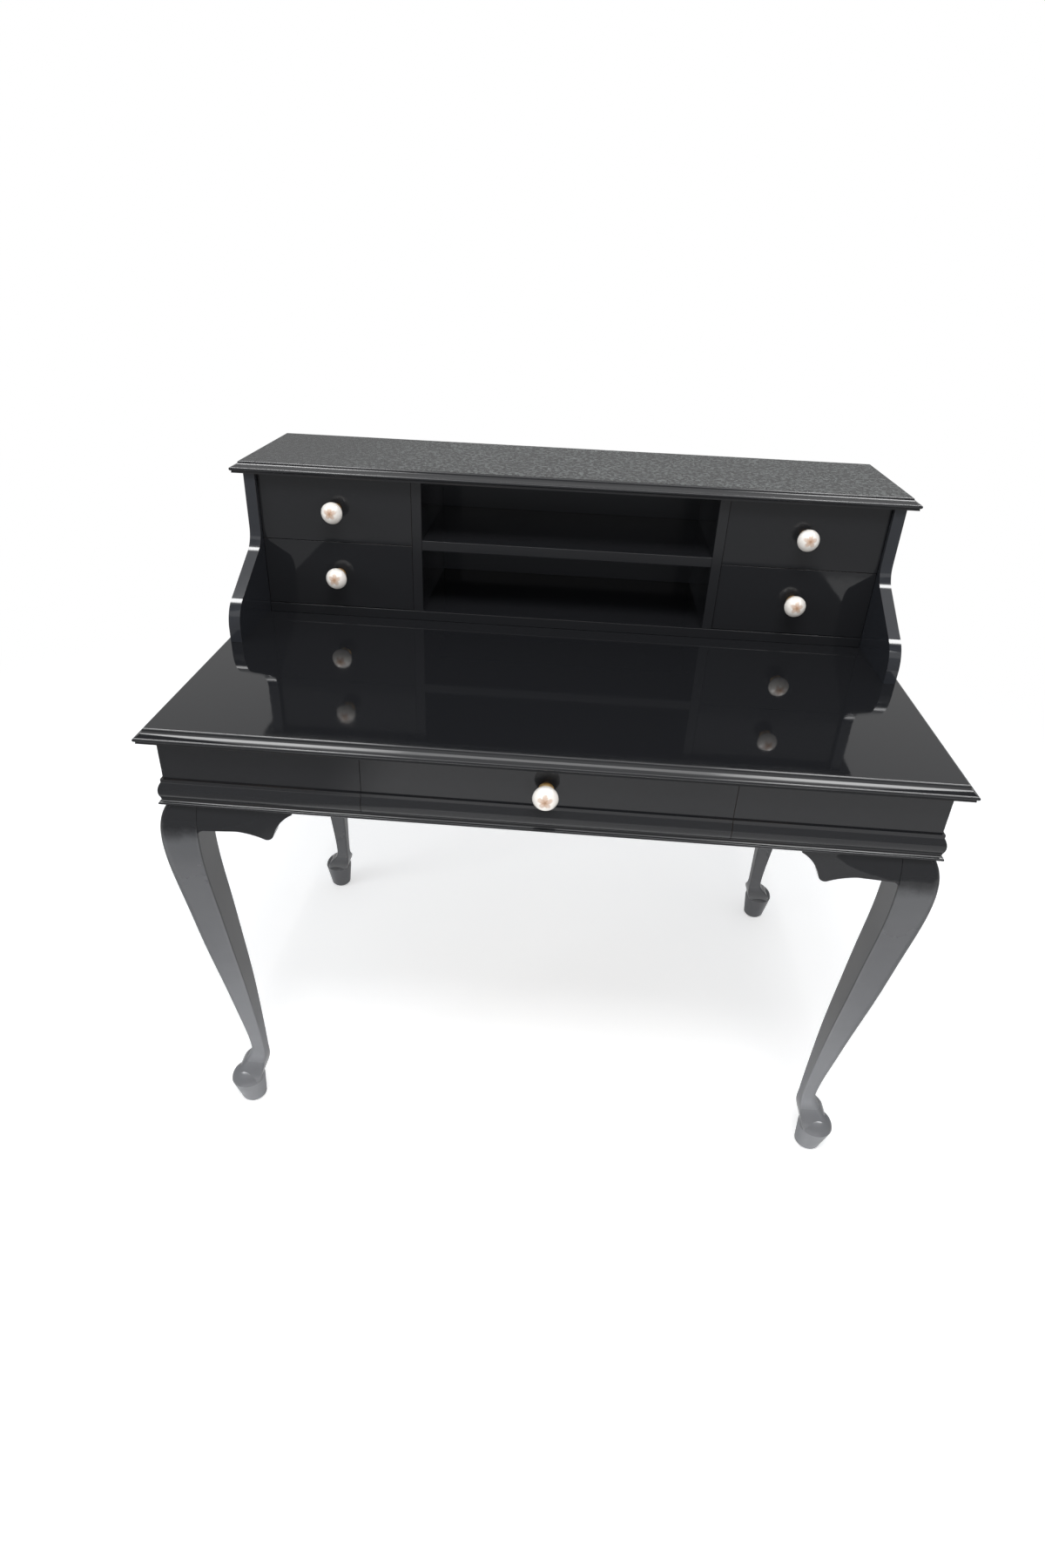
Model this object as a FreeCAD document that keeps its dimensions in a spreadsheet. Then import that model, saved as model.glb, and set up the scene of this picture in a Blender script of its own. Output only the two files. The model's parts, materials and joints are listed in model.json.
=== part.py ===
import FreeCAD, Part
import math
import os
import Sketcher

# Writing desk with a gallery: a black lacquered table on four cabriole legs, one wide drawer in the
# apron, and a full-width gallery with S-curved sides, two pigeonholes and four small drawers.
# X runs to the right, Y to the back and Z up. The origin is on the floor under the middle of the top.

SIZES = {
    # desk top
    "desk_width": 1140,
    "desk_depth": 770,
    "desk_height": 788,
    "top_thick": 20,
    "top_cove_wide": 7.9,
    "top_cove_high": 6.9,
    # edge moulding shared by the desk top and the gallery cap
    "nose_radius": 3,
    "nose_under": 2.5,
    "cove_bow": 0.6,
    "bead_step": 1.1,
    "bead_radius": 3,
    # apron
    "apron_high": 96,
    "fascia_inset": 22,
    "apron_thick": 18,
    "fillet_out": 3.2,
    "fillet_high": 5,
    "torus_out": 5.8,
    "torus_high": 24,
    "torus_rise": 2,
    "torus_bow": 3.3,
    # lip moulding under the apron
    "lip_high": 12,
    "lip_inset": 12.6,
    "lip_nose": 2.2,
    "lip_nose_rise": 5.4,
    "lip_cove_wide": 3.2,
    "lip_cove_bow": 0.8,
    # cabriole legs, from the shoulder down: how far the outer and the inner corner of each section stand in
    # from the edges of the top, and the radius of the outer corner
    "shoulder_outer": 19.5, "shoulder_inner": 66, "shoulder_round": 8,
    "collar_outer": 7, "collar_inner": 66, "collar_round": 12,
    "knee_outer": 5, "knee_inner": 66, "knee_round": 14,
    "thigh_outer": 9, "thigh_inner": 67.5, "thigh_round": 13,
    "calf_outer": 17.6, "calf_inner": 72, "calf_round": 12,
    "shin_outer": 28.6, "shin_inner": 77.5, "shin_round": 11,
    "taper_outer": 42.5, "taper_inner": 83, "taper_round": 10,
    "shank_outer": 54.5, "shank_inner": 86, "shank_round": 9,
    "ankle_outer": 62.5, "ankle_inner": 87.5, "ankle_round": 8,
    "instep_outer": 60, "instep_inner": 88, "instep_round": 8,
    "spread_outer": 46, "spread_inner": 88, "spread_round": 8,
    "heel_outer": 37, "heel_inner": 83, "heel_round": 8,
    "root_outer": 37, "root_inner": 74, "root_round": 8,
    "leg_side_round": 3,
    "leg_inner_round": 4,
    # how high the sections at the foot stand
    "ankle_high": 121,
    "instep_high": 97,
    "spread_high": 80,
    "heel_high": 62,
    "root_high": 46,
    # pad feet: a dome on a cone that leans in to its sole
    "foot_inset": 55,
    "foot_radius": 29.5,
    "foot_rim": 52,
    "foot_crown": 78,
    "foot_crown_bow": 7,
    "toe_radius": 22,
    "toe_high": 5,
    "toe_shift": 4,
    "sole_radius": 18,
    # knee ears, measured from the leg's face and down from the lip
    "ear_gap": 0.1,
    "ear_length": 138.7,
    "ear_deep": 53,
    "ear_knee_out": 13.5,
    "ear_knee_bow": 4,
    "ear_root_drop": 41,
    "ear_root_wide": 9.7,
    "ear_root_bow": 2.2,
    "ear_waist_drop": 34,
    "ear_waist_wide": 46,
    "ear_lobe_drop": 47,
    "ear_lobe_wide": 41,
    "ear_lobe_bow": 2,
    "ear_tip_wide": 12,
    "ear_tip_high": 6,
    "ear_tip_bow": 2.6,
    "ear_end_drop": 3,
    "ear_end_bow": 5,
    # centre drawer and its runners
    "front_lap": 11.2,
    "joint_gap": 0.8,
    "stop_gap": 0.4,
    "runner_web": 18,
    "runner_ledge_high": 8,
    "runner_ledge_wide": 18,
    "run_gap": 0.4,
    "side_gap": 0.8,
    "centre_knob_rise": 58,
    "centre_box_half": 250,
    "centre_box_deep": 420,
    "centre_box_high": 79,
    "centre_side_thick": 12,
    "centre_bottom_thick": 5,
    "centre_bottom_rise": 8,
    "bottom_tongue": 4,
    # cleats and screws
    "cleat_size": 20,
    "cleat_gap": 19,
    "cleat_screw_edge": 80,
    "screw_radius": 2.2,
    "screw_head_radius": 4.5,
    "screw_head_high": 3,
    "screw_bite": 11,
    "screw_clear": 0.1,
    "gallery_screw_gap": 31.2,
    "gallery_screw_edge": 45,
    # gallery
    "gallery_side_inset": 20.5,
    "gallery_back_inset": 21,
    "gallery_high": 244.5,
    "panel_thick": 19,
    "panel_foot_deep": 418,
    "panel_head_deep": 272,
    "panel_toe_high": 22,
    "panel_hip_back": 26.8,
    "panel_hip_high": 66.3,
    "panel_hip_bow": 7.2,
    "panel_waist_out": 21.4,
    "panel_waist_high": 117.6,
    "panel_waist_bow": 5.8,
    "panel_neck_high": 153,
    "back_thick": 6,
    "back_rebate": 7.5,
    "cap_thick": 18,
    "cap_overhang": 20,
    "cap_deep": 282,
    "cap_cove_wide": 8.8,
    "cap_cove_high": 4.6,
    "base_thick": 17,
    "base_deep": 264,
    "divider_half": 250,
    "divider_thick": 17,
    "divider_set_back": 1,
    "shelf_low": 110,
    "shelf_thick": 17,
    "shelf_set_back": 2,
    "dust_thick": 12,
    "dado_deep": 5,
    # gallery drawers
    "front_set_back": 3,
    "front_thick": 17,
    "front_joint_high": 116,
    "box_deep": 230,
    "box_side_thick": 10,
    "box_bottom_thick": 4,
    "box_bottom_rise": 6,
    "box_head_gap": 5,
    # knobs
    "knob_radius": 18,
    "knob_high": 28,
    "knob_waist": 15,
    "knob_back_radius": 9,
    "knob_back_bow": 3,
    "knob_dome_bow": 3.6,
    "knob_socket": 8,
    "collar_high": 12,
    "collar_flange_radius": 11,
    "collar_flange": 1.6,
    "collar_neck_radius": 5.8,
    "collar_sweep": 3,
    "collar_sweep_bow": 0.9,
    "collar_cup_radius": 8,
    "knob_bore": 2.5,
    "knob_screw_head_radius": 4.5,
    "knob_screw_head_high": 2.5,
}

# The leg's sections above the ankle, each with its share of the way from the ankle up to the lip, and the
# sections below, whose heights are lengths of their own.
SHAFT = (
    ("shoulder", 1.0),
    ("collar", 0.938),
    ("knee", 0.884),
    ("thigh", 0.781),
    ("calf", 0.652),
    ("shin", 0.485),
    ("taper", 0.300),
    ("shank", 0.132),
)
BELOW_SHAFT = ("ankle", "instep", "spread", "heel", "root")

# The bow of a quarter circle over its chord, as a share of its radius.
QUARTER = 1 - math.sqrt(0.5)

doc = FreeCAD.newDocument("writing_desk")


class Size:
    """A length that carries both its value in millimetres and its formula on the sheet."""

    def __init__(self, value, text):
        self.value = float(value)
        self.text = text

    @staticmethod
    def of(thing):
        return thing if isinstance(thing, Size) else Size(thing, repr(float(thing)))

    def join(self, sign, other, value):
        return Size(value, "(" + self.text + " " + sign + " " + other.text + ")")

    def __add__(self, other):
        other = Size.of(other)
        return self.join("+", other, self.value + other.value)

    def __sub__(self, other):
        other = Size.of(other)
        return self.join("-", other, self.value - other.value)

    def __mul__(self, other):
        other = Size.of(other)
        return self.join("*", other, self.value * other.value)

    def __truediv__(self, other):
        other = Size.of(other)
        return self.join("/", other, self.value / other.value)

    def __radd__(self, other):
        return Size.of(other) + self

    def __rsub__(self, other):
        return Size.of(other) - self

    def __rmul__(self, other):
        return Size.of(other) * self

    def __neg__(self):
        return Size.of(-1) * self


def make_sheet():
    """The spreadsheet that holds every driving dimension, one row each."""
    sheet = doc.addObject("Spreadsheet::Sheet", "sizes")
    for row, (name, value) in enumerate(SIZES.items(), start=1):
        sheet.set("A%d" % row, name)
        sheet.set("B%d" % row, str(value))
        sheet.setAlias("B%d" % row, name)
    doc.recompute()


def size(name):
    return Size(SIZES[name], "sizes." + name)


make_sheet()

# Levels and planes that several pieces share. The centre knob stands out beyond the edge of the top, so
# the top lies a little behind the origin.
HALF_WIDTH = size("desk_width") / 2
KNOB_OVERHANG = size("collar_high") + size("knob_high") - size("fascia_inset")
FRONT = (KNOB_OVERHANG - size("desk_depth")) / 2
REAR = FRONT + size("desk_depth")
MIDDLE = (FRONT + REAR) / 2
TOP_LEVEL = size("desk_height")
UNDER_TOP = TOP_LEVEL - size("top_thick")
LIP_TOP = UNDER_TOP - size("apron_high")
LIP_BASE = LIP_TOP - size("lip_high")
APRON_BACK = size("fascia_inset") + size("apron_thick")
APRON_REAR = REAR - size("fascia_inset")
SHOULDER_OUTER = size("shoulder_outer")
SHOULDER_INNER = size("shoulder_inner")

CLEAT_OUT = HALF_WIDTH - APRON_BACK
CLEAT_IN = CLEAT_OUT - size("cleat_size")
CLEAT_BASE = UNDER_TOP - size("cleat_size")
CLEAT_FRONT = FRONT + SHOULDER_INNER + size("cleat_gap")
CLEAT_REAR = REAR - SHOULDER_INNER - size("cleat_gap")

CENTRE_BACK = FRONT + APRON_BACK - size("stop_gap")
CENTRE_LOW = LIP_TOP + size("runner_ledge_high") + size("run_gap")
RUNNER_IN = size("centre_box_half") + size("side_gap")
RUNNER_OUT = RUNNER_IN + size("runner_web")
CENTRE_HALF = RUNNER_IN + size("front_lap")

GALLERY_OUT = HALF_WIDTH - size("gallery_side_inset")
GALLERY_IN = GALLERY_OUT - size("panel_thick")
GALLERY_REAR = REAR - size("gallery_back_inset")
PANEL_FRONT = GALLERY_REAR - size("back_thick")
GALLERY_TOP = TOP_LEVEL + size("gallery_high")
BASE_TOP = TOP_LEVEL + size("base_thick")
BASE_FRONT = GALLERY_REAR - size("base_deep")
FRONT_FACE = BASE_FRONT + size("front_set_back")
FRONT_BACK = FRONT_FACE + size("front_thick")
DIVIDER_IN = size("divider_half")
DIVIDER_OUT = DIVIDER_IN + size("divider_thick")
DIVIDER_FRONT = BASE_FRONT + size("divider_set_back")
SHELF_FRONT = BASE_FRONT + size("shelf_set_back")
SHELF_LOW = BASE_TOP + size("shelf_low")
SHELF_TOP = SHELF_LOW + size("shelf_thick")
JOINT_LEVEL = BASE_TOP + size("front_joint_high")
DUST_LOW = JOINT_LEVEL - size("dust_thick") / 2
DUST_TOP = JOINT_LEVEL + size("dust_thick") / 2
DUST_FRONT = FRONT_BACK + size("stop_gap")


class Piece:
    """One sub-part: a body placed at its own corner, with its features given in the desk's frame."""

    def __init__(self, label, west, front, low):
        self.body = doc.addObject("PartDesign::Body", label)
        self.body.Label = label
        self.base = [Size.of(west), Size.of(front), Size.of(low)]
        self.count = 0
        for axis, place in zip("xyz", self.base):
            self.body.setExpression("Placement.Base." + axis, place.text)

    def sketch(self, role, away=0, aside=0):
        """An empty sketch on one of the body's own planes, moved along the plane's normal."""
        self.count += 1
        name = "%s_outline_%d" % (self.body.Name, self.count)
        sketch = self.body.newObject("Sketcher::SketchObject", name)
        planes = [item for item in self.body.Origin.OriginFeatures if item.Role == role]
        sketch.AttachmentSupport = [(planes[0], "")]
        sketch.MapMode = "FlatFace"
        sketch.setExpression("AttachmentOffset.Base.z", Size.of(away).text)
        sketch.setExpression("AttachmentOffset.Base.x", Size.of(aside).text)
        return sketch

    def feature(self, kind, sketch):
        self.count += 1
        name = "%s_%s_%d" % (self.body.Name, kind, self.count)
        feature = self.body.newObject("PartDesign::" + kind, name)
        feature.Profile = sketch
        return feature

    def pad(self, sketch, length, backwards=False):
        pad = self.feature("Pad", sketch)
        pad.setExpression("Length", Size.of(length).text)
        pad.Reversed = backwards
        return pad

    def revolve(self, sketch):
        """A full turn about the sketch's own vertical axis."""
        turned = self.feature("Revolution", sketch)
        turned.ReferenceAxis = (sketch, ["V_Axis"])
        turned.Angle = 360
        return turned

    def pocket(self, sketch, length, backwards=False):
        """A cut whose volume is compared, since a cut into thin air shows no error."""
        doc.recompute()
        before = self.body.Shape.Volume
        pocket = self.feature("Pocket", sketch)
        pocket.setExpression("Length", Size.of(length).text)
        pocket.Reversed = backwards
        doc.recompute()
        if self.body.Shape.Volume >= before:
            raise ValueError("a cut in %s removes nothing" % self.body.Label)
        return pocket

    def cut_through(self, sketch):
        doc.recompute()
        before = self.body.Shape.Volume
        pocket = self.feature("Pocket", sketch)
        pocket.Type = "ThroughAll"
        pocket.SideType = "Symmetric"
        doc.recompute()
        if self.body.Shape.Volume >= before:
            raise ValueError("a cut in %s removes nothing" % self.body.Label)
        return pocket

    def cut_box(self, west, east, front, back, low, high):
        """A straight-sided groove, dado or rebate, given in the desk's frame."""
        sketch = self.sketch("XY_Plane", low - self.base[2])
        x, y = self.base[:2]
        rectangle(sketch, west - x, front - y, east - x, back - y)
        self.pocket(sketch, high - low, backwards=True)

    def drill_up(self, x, y, radius, low, high):
        sketch = self.sketch("XY_Plane", low - self.base[2])
        circle(sketch, x - self.base[0], y - self.base[1], radius)
        self.pocket(sketch, high - low, backwards=True)

    def drill_back(self, x, z, radius, front, back):
        sketch = self.sketch("XZ_Plane", self.base[1] - front)
        circle(sketch, x - self.base[0], z - self.base[2], radius)
        self.pocket(sketch, back - front)


def board(label, west, east, front, back, low, high):
    """A plain rectangular board between six planes."""
    piece = Piece(label, west, front, low)
    sketch = piece.sketch("XY_Plane")
    rectangle(sketch, 0, 0, east - west, back - front)
    piece.pad(sketch, high - low)
    return piece


joined = set()


def join(label, pieces):
    """One node for pieces that are screwed or jointed into one."""
    compound = doc.addObject("Part::Compound", label)
    compound.Label = label
    compound.Links = [piece.body for piece in pieces]
    joined.update(piece.body.Name for piece in pieces)


def outline(sketch, points):
    """A closed outline. A point is (x, y), or (x, y, bow) for an arc that ends there: the bow is the
    arc's height over its chord, positive where it bulges to the left of the way the outline runs."""
    corners = [(Size.of(point[0]), Size.of(point[1])) for point in points]
    ends = []
    radii = []
    for number, point in enumerate(points):
        start, end = corners[number - 1], corners[number]
        a = FreeCAD.Vector(start[0].value, start[1].value, 0)
        b = FreeCAD.Vector(end[0].value, end[1].value, 0)
        bow = Size.of(point[2]) if len(point) > 2 else None
        if bow is None:
            geometry = Part.LineSegment(a, b)
            ends.append((number, 1, 2))
        else:
            chord = b - a
            left = FreeCAD.Vector(-chord.y, chord.x, 0).normalize()
            top = (a + b) * 0.5 + left * bow.value
            geometry = counterclockwise_arc(a, top, b, bow.value > 0)
            ends.append((number, 2, 1) if bow.value > 0 else (number, 1, 2))
            dx, dy = end[0] - start[0], end[1] - start[1]
            height = bow if bow.value > 0 else -bow
            radii.append((number, (dx * dx + dy * dy) / (8 * height) + height / 2))
        sketch.addGeometry(geometry, False)
    for number, (this, last) in enumerate(zip(ends, ends[-1:] + ends[:-1])):
        start = corners[number - 1]
        sketch.addConstraint(Sketcher.Constraint("Coincident", last[0], last[2], this[0], this[1]))
        bind(sketch, "DistanceX", (-1, 1, this[0], this[1]), start[0])
        bind(sketch, "DistanceY", (-1, 1, this[0], this[1]), start[1])
    for number, radius in radii:
        bind(sketch, "Radius", (number,), radius)


def counterclockwise_arc(a, top, b, clockwise):
    """The arc a - top - b as a sketcher arc, which always runs counter-clockwise."""
    circle_through = Part.Circle(a, top, b)
    centre = circle_through.Center
    first, last = (b, a) if clockwise else (a, b)
    start = math.atan2(first.y - centre.y, first.x - centre.x)
    stop = math.atan2(last.y - centre.y, last.x - centre.x)
    if stop < start:
        stop += 2 * math.pi
    full = Part.Circle(centre, FreeCAD.Vector(0, 0, 1), circle_through.Radius)
    return Part.ArcOfCircle(full, start, stop)


def rectangle(sketch, x0, y0, x1, y1):
    outline(sketch, [(x0, y0), (x1, y0), (x1, y1), (x0, y1)])


def circle(sketch, x, y, radius):
    x, y, radius = Size.of(x), Size.of(y), Size.of(radius)
    centre = FreeCAD.Vector(x.value, y.value, 0)
    number = sketch.addGeometry(Part.Circle(centre, FreeCAD.Vector(0, 0, 1), radius.value), False)
    bind(sketch, "DistanceX", (-1, 1, number, 3), x)
    bind(sketch, "DistanceY", (-1, 1, number, 3), y)
    bind(sketch, "Radius", (number,), radius)


def bind(sketch, kind, where, length):
    """A dimension whose value follows its formula on the sheet."""
    number = sketch.addConstraint(Sketcher.Constraint(kind, *where, length.value))
    sketch.setExpression("Constraints[%d]" % number, length.text)


# Boards with a moulded edge on the front and both ends: the desk top and the gallery cap.

def moulded_board(label, half, front, deep, low, thick, cove_wide, cove_high):
    blank = 1
    over = 2
    piece = Piece(label, 0, front, low)
    sketch = piece.sketch("XY_Plane")
    rectangle(sketch, -half - blank, -blank, half + blank, deep)
    piece.pad(sketch, thick)
    path = piece.sketch("XY_Plane")
    turns = [(-half, deep + over), (-half, Size.of(0)), (half, Size.of(0)), (half, deep + over)]
    for number, (start, end) in enumerate(zip(turns[:-1], turns[1:])):
        a = FreeCAD.Vector(start[0].value, start[1].value, 0)
        b = FreeCAD.Vector(end[0].value, end[1].value, 0)
        path.addGeometry(Part.LineSegment(a, b), False)
        if number:
            path.addConstraint(Sketcher.Constraint("Coincident", number - 1, 2, number, 1))
        bind(path, "DistanceX", (-1, 1, number, 1), start[0])
        bind(path, "DistanceY", (-1, 1, number, 1), start[1])
    bind(path, "DistanceX", (-1, 1, number, 2), turns[-1][0])
    bind(path, "DistanceY", (-1, 1, number, 2), turns[-1][1])
    nose = size("nose_radius")
    bead = size("bead_radius")
    step_top = thick - bead
    cove_top = step_top - size("bead_step")
    nose_top = cove_top - cove_high
    nose_low = nose_top - 2 * nose
    cutter = piece.sketch("XZ_Plane", -(deep + over))
    outline(cutter, [
        (-half - 2 * blank, Size.of(-over)),
        (-half + size("nose_under"), Size.of(-over)),
        (-half + size("nose_under"), 0),
        (-half + nose, nose_low),
        (-half, nose_low + nose, QUARTER * nose),
        (-half + nose, nose_top, QUARTER * nose),
        (-half + nose + cove_wide, cove_top, -size("cove_bow")),
        (-half + nose + cove_wide, step_top),
        (-half + nose + cove_wide + bead, thick, QUARTER * bead),
        (-half + nose + cove_wide + bead, thick + over),
        (-half - 2 * blank, thick + over),
    ])
    cut = piece.feature("SubtractivePipe", cutter)
    cut.Spine = path
    cut.Transition = "Right corner"
    return piece


def make_desk_top():
    piece = moulded_board(
        "desk_top", HALF_WIDTH, FRONT, size("desk_depth"), UNDER_TOP, size("top_thick"),
        size("top_cove_wide"), size("top_cove_high"))
    for x, y in cleat_screw_places():
        piece.drill_up(x, y, SCREW_HOLE, UNDER_TOP, UNDER_TOP + SCREW_DEPTH)
    for x, y in gallery_screw_places():
        piece.drill_up(x, y, SCREW_HOLE, UNDER_TOP, TOP_LEVEL)
    return piece


def make_gallery_cap():
    deep = size("cap_deep")
    return moulded_board(
        "gallery_cap", GALLERY_OUT + size("cap_overhang"), GALLERY_REAR - deep, deep,
        GALLERY_TOP, size("cap_thick"), size("cap_cove_wide"), size("cap_cove_high"))


# Apron: a fascia with a fillet and a flat torus run on its lower half, mitred at the front corners.

def apron_outline(turn, low, high, back):
    """The apron's section: inset from the desk top's nose, and height above the lip. The torus bulges
    outwards, so its bow changes side with the direction that the inset runs in."""
    fascia = size("fascia_inset")
    rise = size("torus_rise")
    fillet_low = rise + size("torus_high")
    fillet_top = fillet_low + size("fillet_high")
    return [
        (turn * back, low),
        (turn * back, high),
        (turn * fascia, high),
        (turn * fascia, fillet_top),
        (turn * (fascia - size("fillet_out")), fillet_top),
        (turn * (fascia - size("fillet_out")), fillet_low),
        (turn * (fascia - size("torus_out")), rise, -turn * size("torus_bow")),
        (turn * (fascia - size("torus_out")), low),
    ]


def lip_outline(turn):
    """The lip's section: a cove that runs down to a thin round nose, with a bevel below."""
    nose = size("lip_nose")
    edge = size("lip_inset")
    level = size("lip_nose_rise")
    return [
        (turn * APRON_BACK, 0),
        (turn * APRON_BACK, size("lip_high")),
        (turn * (edge + nose + size("lip_cove_wide")), size("lip_high")),
        (turn * (edge + nose), level + nose, turn * size("lip_cove_bow")),
        (turn * edge, level, -turn * QUARTER * nose),
        (turn * (edge + nose), level - nose, -turn * QUARTER * nose),
        (turn * SHOULDER_OUTER, 0),
    ]


def mitre_front(piece, side):
    """Takes off a front length where the side length meets it."""
    reach = 2 * APRON_BACK
    corner = side * HALF_WIDTH - piece.base[0]
    sketch = piece.sketch("XY_Plane")
    outline(sketch, [(corner + side, -1), (corner - side * reach, reach), (corner + side, reach)])
    piece.cut_through(sketch)


def mitre_side(piece, side):
    """Takes off a side length where the front length meets it."""
    reach = 2 * APRON_BACK
    sketch = piece.sketch("XY_Plane")
    outline(sketch, [(Size.of(side), -1), (-side * reach, reach), (-side * reach, -1)])
    piece.cut_through(sketch)


def make_front_apron(label, side):
    length = HALF_WIDTH - CENTRE_HALF
    west = -HALF_WIDTH if side < 0 else CENTRE_HALF
    piece = Piece(label, west, FRONT, LIP_TOP)
    sketch = piece.sketch("YZ_Plane")
    outline(sketch, apron_outline(1, Size.of(0), size("apron_high"), APRON_BACK))
    piece.pad(sketch, length)
    mitre_front(piece, side)
    return piece


def make_side_apron(label, side):
    piece = Piece(label, side * HALF_WIDTH, FRONT, LIP_TOP)
    sketch = piece.sketch("XZ_Plane")
    outline(sketch, apron_outline(-side, Size.of(0), size("apron_high"), APRON_BACK))
    piece.pad(sketch, size("desk_depth") - size("fascia_inset"), backwards=True)
    mitre_side(piece, side)
    return piece


def make_back_apron():
    half = HALF_WIDTH - APRON_BACK
    return board("apron_back", -half, half, REAR - APRON_BACK, APRON_REAR,
                 LIP_BASE, UNDER_TOP)


def make_front_lip():
    piece = Piece("lip_front", -HALF_WIDTH, FRONT, LIP_BASE)
    sketch = piece.sketch("YZ_Plane")
    outline(sketch, lip_outline(1))
    piece.pad(sketch, size("desk_width"))
    mitre_front(piece, -1)
    mitre_front(piece, 1)
    return piece


def make_side_lip(label, side):
    piece = Piece(label, side * HALF_WIDTH, FRONT, LIP_BASE)
    sketch = piece.sketch("XZ_Plane")
    outline(sketch, lip_outline(-side))
    piece.pad(sketch, size("desk_depth") - size("fascia_inset"), backwards=True)
    mitre_side(piece, side)
    return piece


# Cabriole legs: rounded square sections that swell and taper along the corner's diagonal, a pad foot, and
# a square tenon that stands in the corner of the apron.

def edge_of(front_or_back):
    return FRONT if front_or_back < 0 else REAR


def leg_section(piece, name, level, side, end):
    """One section of the leg, a square with its four corners rounded."""
    outer, inner = size(name + "_outer"), size(name + "_inner")
    big, arris, small = size(name + "_round"), size("leg_side_round"), size("leg_inner_round")
    turn = -side * end * QUARTER
    corners = [
        (outer + big, outer, turn * big),
        (inner - arris, outer),
        (inner, outer + arris, turn * arris),
        (inner, inner - small),
        (inner - small, inner, turn * small),
        (outer + arris, inner),
        (outer, inner - arris, turn * arris),
        (outer, outer + big),
    ]
    sketch = piece.sketch("XY_Plane", level)
    outline(sketch, [(-side * corner[0], -end * corner[1]) + corner[2:] for corner in corners])
    return sketch


def loft(piece, sections, ruled=False):
    body = piece.feature("AdditiveLoft", sections[0])
    body.Sections = sections[1:]
    body.Ruled = ruled


def make_foot(piece, side, end):
    """The pad foot: a cone between three circles, and a dome turned on its rim."""
    inset = size("foot_inset")
    shift = size("toe_shift")
    circles = []
    for level, radius, lean in ((Size.of(0), size("sole_radius"), shift),
                                (size("toe_high"), size("toe_radius"), shift),
                                (size("foot_rim"), size("foot_radius"), Size.of(0))):
        sketch = piece.sketch("XY_Plane", level)
        circle(sketch, -side * (inset + lean), -end * (inset + lean), radius)
        circles.append(sketch)
    loft(piece, circles, ruled=True)
    dome = piece.sketch("XZ_Plane", end * inset, -side * inset)
    outline(dome, [
        (0, size("foot_rim")),
        (side * size("foot_radius"), size("foot_rim")),
        (0, size("foot_crown"), -side * size("foot_crown_bow")),
    ])
    piece.revolve(dome)


def make_leg(label, side, end):
    piece = Piece(label, side * HALF_WIDTH, edge_of(end), 0)
    ankle = size("ankle_high")
    sections = [leg_section(piece, name, ankle + share * (LIP_BASE - ankle), side, end)
                for name, share in SHAFT]
    sections += [leg_section(piece, name, size(name + "_high"), side, end) for name in BELOW_SHAFT]
    loft(piece, sections)
    make_foot(piece, side, end)
    tenon = piece.sketch("XY_Plane", LIP_BASE)
    rectangle(tenon, -side * APRON_BACK, -end * APRON_BACK, -side * SHOULDER_INNER, -end * SHOULDER_INNER)
    piece.pad(tenon, UNDER_TOP - LIP_BASE)
    return piece


# Knee ears: brackets that carry the knee's swell out along the apron and end in a rounded lobe.

def ear_section(sketch, turn, swell, bow):
    """The ear's section, swelling forwards at its foot by the given amount."""
    low = LIP_BASE - size("ear_deep")
    foot = (turn * (SHOULDER_OUTER - swell), low)
    outline(sketch, [
        (turn * APRON_BACK, LIP_BASE),
        (turn * SHOULDER_OUTER, LIP_BASE),
        foot if bow is None else foot + (-turn * bow,),
        (turn * APRON_BACK, low),
    ])


def ear_profile(sketch, turn):
    """What is cut away below the ear: a small cove at the leg, a level waist, a lobe and a swept end."""
    spare = 1
    start = SHOULDER_INNER + size("ear_gap")
    waist = start + size("ear_root_wide")
    slope = waist + size("ear_waist_wide")
    lobe = slope + size("ear_lobe_wide")
    tip = lobe + size("ear_tip_wide")
    end = start + size("ear_length")
    low = LIP_BASE - size("ear_deep") - spare
    lobe_level = LIP_BASE - size("ear_lobe_drop")
    waist_level = LIP_BASE - size("ear_waist_drop")
    end_level = LIP_BASE - size("ear_end_drop")
    outline(sketch, [
        (turn * (start - spare), low),
        (turn * (start - spare), LIP_BASE - size("ear_root_drop")),
        (turn * waist, waist_level, turn * size("ear_root_bow")),
        (turn * slope, waist_level),
        (turn * lobe, lobe_level, turn * size("ear_lobe_bow")),
        (turn * tip, lobe_level + size("ear_tip_high"), -turn * size("ear_tip_bow")),
        (turn * end, end_level, turn * size("ear_end_bow")),
        (turn * (end + spare), end_level),
        (turn * (end + spare), low),
    ])


def make_ear(label, side, end, along_x):
    """One ear. It runs along X behind the front lip, or along Y behind a side lip."""
    piece = Piece(label, side * HALF_WIDTH, edge_of(end), 0)
    start = SHOULDER_INNER + size("ear_gap")
    stop = start + size("ear_length")
    if along_x:
        section_plane, profile_plane = "YZ_Plane", "XZ_Plane"
        across, along, away = -end, -side, -side
    else:
        section_plane, profile_plane = "XZ_Plane", "YZ_Plane"
        across, along, away = -side, -end, end
    root = piece.sketch(section_plane, away * start)
    ear_section(root, across, size("ear_knee_out"), size("ear_knee_bow"))
    tail = piece.sketch(section_plane, away * stop)
    ear_section(tail, across, 0, None)
    block = piece.feature("AdditiveLoft", root)
    block.Sections = [tail]
    profile = piece.sketch(profile_plane)
    ear_profile(profile, along)
    piece.cut_through(profile)
    return piece


# Runners for the centre drawer, cleats along the side aprons, and the screws that hold the top.

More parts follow.
